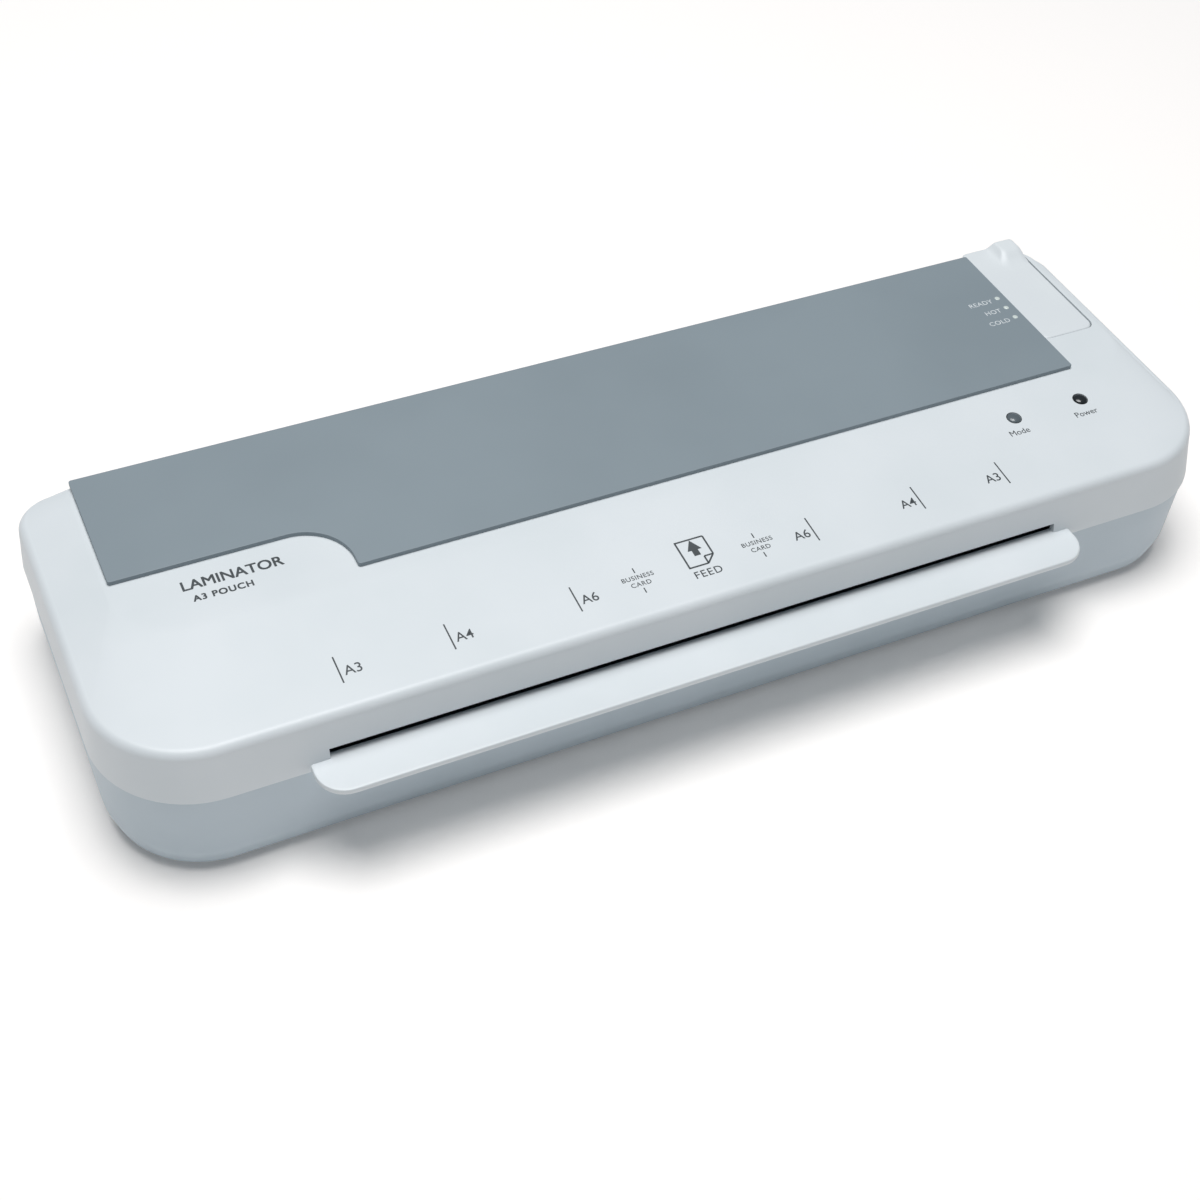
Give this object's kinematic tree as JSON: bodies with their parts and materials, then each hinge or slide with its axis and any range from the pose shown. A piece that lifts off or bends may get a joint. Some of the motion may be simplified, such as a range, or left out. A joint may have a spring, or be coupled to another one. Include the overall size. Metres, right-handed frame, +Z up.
{
  "type": "pouch laminator",
  "caption": "Low desktop pouch laminator: rounded pale casing, raised grey top panel with a notch, front feed ledge and slot, rear exit, geared hot and cold rollers, corner rounder.",
  "frame": {"origin": "centre of the bounding box's base, on the surface the feet stand on", "axes": "+X to the right as seen from the feed side, +Y to the rear (exit side), +Z up"},
  "size_m": [0.496, 0.178, 0.0735],
  "materials": {
    "white_shell": "fine satin grain",
    "grey_shell": "fine satin grain",
    "panel_grey": "very fine matt grain",
    "key_black": "semi-gloss",
    "key_grey": "semi-gloss",
    "lens_clear": "polished, milky",
    "lamp_body": "epoxy package",
    "board_green": "solder mask",
    "component_dark": "moulded",
    "plate_zinc": "zinc plated sheet",
    "shaft_steel": "ground",
    "silicone_hot": "ground silicone",
    "silicone_cold": "ground silicone",
    "bush_bronze": "sintered, oiled",
    "gear_acetal": "moulded acetal",
    "pinion_brass": "machined",
    "motor_steel": "drawn can",
    "shoe_aluminium": "extruded",
    "heater_mica": "pressed mica",
    "thermostat_body": "phenolic",
    "fuse_body": "tinned",
    "guide_black": "heat resistant moulding",
    "die_steel": "machined",
    "lever_white": "fine satin grain",
    "spring_steel": "drawn wire",
    "screw_steel": "zinc plated",
    "foot_rubber": "moulded",
    "gland_black": "moulded"
  },
  "bodies": {
    "casing": {"upper_shell": "white_shell", "lower_shell": "grey_shell", "top_panel": "panel_grey", "key_switches": "component_dark", "key_board": "board_green", "indicator_lenses": "lens_clear", "indicator_lamps": "lamp_body", "indicator_board": "board_green", "power_board": "board_green", "power_components": "component_dark", "left_side_plate": "plate_zinc", "right_side_plate": "plate_zinc", "tie_rods": "shaft_steel", "lower_bushes": "bush_bronze", "upper_bushes": "bush_bronze", "pressure_springs": "spring_steel", "idler_pin": "shaft_steel", "motor_bracket": "plate_zinc", "bracket_posts": "shaft_steel", "gear_motor": "motor_steel", "upper_heating_shoe": "shoe_aluminium", "lower_heating_shoe": "shoe_aluminium", "heater_strips": "heater_mica", "thermostat": "thermostat_body", "thermal_fuse": "fuse_body", "entry_guide_lower": "guide_black", "entry_guide_upper": "guide_black", "transfer_guides": "guide_black", "exit_guides": "guide_black", "corner_base": "die_steel", "lever_pin": "shaft_steel", "corner_spring": "spring_steel", "case_screws": "screw_steel", "frame_screws": "screw_steel", "rubber_feet": "foot_rubber", "cord_gland": "gland_black"},
    "lower_hot_roller": {"lower_hot_roller_core": "shaft_steel", "lower_hot_roller_sleeve": "silicone_hot", "lower_hot_roller_gear": "gear_acetal", "drive_gear": "gear_acetal"},
    "upper_hot_roller": {"upper_hot_roller_core": "shaft_steel", "upper_hot_roller_sleeve": "silicone_hot", "upper_hot_roller_gear": "gear_acetal"},
    "lower_cold_roller": {"lower_cold_roller_core": "shaft_steel", "lower_cold_roller_sleeve": "silicone_cold", "lower_cold_roller_gear": "gear_acetal"},
    "upper_cold_roller": {"upper_cold_roller_core": "shaft_steel", "upper_cold_roller_sleeve": "silicone_cold", "upper_cold_roller_gear": "gear_acetal"},
    "idler": {"idler_gear": "gear_acetal"},
    "motor_drive": {"motor_pinion": "pinion_brass", "motor_shaft": "shaft_steel"},
    "power_button": {"power_key": "key_black", "power_switch_plunger": "key_black"},
    "mode_button": {"mode_key": "key_grey", "mode_switch_plunger": "key_black"},
    "press_lever": {"corner_lever": "lever_white"},
    "punch": {"corner_punch": "die_steel"}
  },
  "joints": [
    {"name": "lower_hot_spin", "type": "hinge", "parent": "casing", "child": "lower_hot_roller", "pos_m": [-0.0055, 0.008, 0.036], "axis": [1, 0, 0], "continuous": true},
    {"name": "upper_hot_spin", "type": "hinge", "parent": "casing", "child": "upper_hot_roller", "pos_m": [-0.0055, 0.008, 0.055], "axis": [1, 0, 0], "continuous": true},
    {"name": "idler_spin", "type": "hinge", "parent": "casing", "child": "idler", "pos_m": [-0.0055, 0.028, 0.036], "axis": [1, 0, 0], "continuous": true},
    {"name": "lower_cold_spin", "type": "hinge", "parent": "casing", "child": "lower_cold_roller", "pos_m": [-0.0055, 0.048, 0.036], "axis": [1, 0, 0], "continuous": true},
    {"name": "upper_cold_spin", "type": "hinge", "parent": "casing", "child": "upper_cold_roller", "pos_m": [-0.0055, 0.048, 0.055], "axis": [1, 0, 0], "continuous": true},
    {"name": "motor_spin", "type": "hinge", "parent": "casing", "child": "motor_drive", "pos_m": [-0.0055, -0.01883, 0.033], "axis": [1, 0, 0], "continuous": true},
    {"name": "power_key_slide", "type": "slide", "parent": "casing", "child": "power_button", "axis": [0, 0, -1], "range_m": [0, 0.0008], "stiffness_N_per_m": 900, "springref_m": -0.0006},
    {"name": "mode_key_slide", "type": "slide", "parent": "casing", "child": "mode_button", "axis": [0, 0, -1], "range_m": [0, 0.0008], "stiffness_N_per_m": 900, "springref_m": -0.0006},
    {"name": "press_lever_hinge", "type": "hinge", "parent": "casing", "child": "press_lever", "pos_m": [0.2213, 0.0255, 0.063], "axis": [-1, 0, 0], "range_deg": [0, 5.5], "stiffness_Nm_per_rad": 3, "springref_deg": -2.86},
    {"name": "punch_slide", "type": "slide", "parent": "casing", "child": "punch", "axis": [0, 0, -1], "range_m": [0, 0.0041], "deforming": ["corner_spring"]}
  ],
  "couplings": [
    {"joint": "upper_hot_spin", "follows": "lower_hot_spin", "ratio": -1},
    {"joint": "idler_spin", "follows": "lower_hot_spin", "ratio": -0.90476},
    {"joint": "lower_cold_spin", "follows": "lower_hot_spin", "ratio": 1},
    {"joint": "upper_cold_spin", "follows": "lower_hot_spin", "ratio": -1},
    {"joint": "motor_spin", "follows": "lower_hot_spin", "ratio": -2},
    {"joint": "punch_slide", "follows": "press_lever_hinge", "m_per_rad": 0.0425}
  ]
}
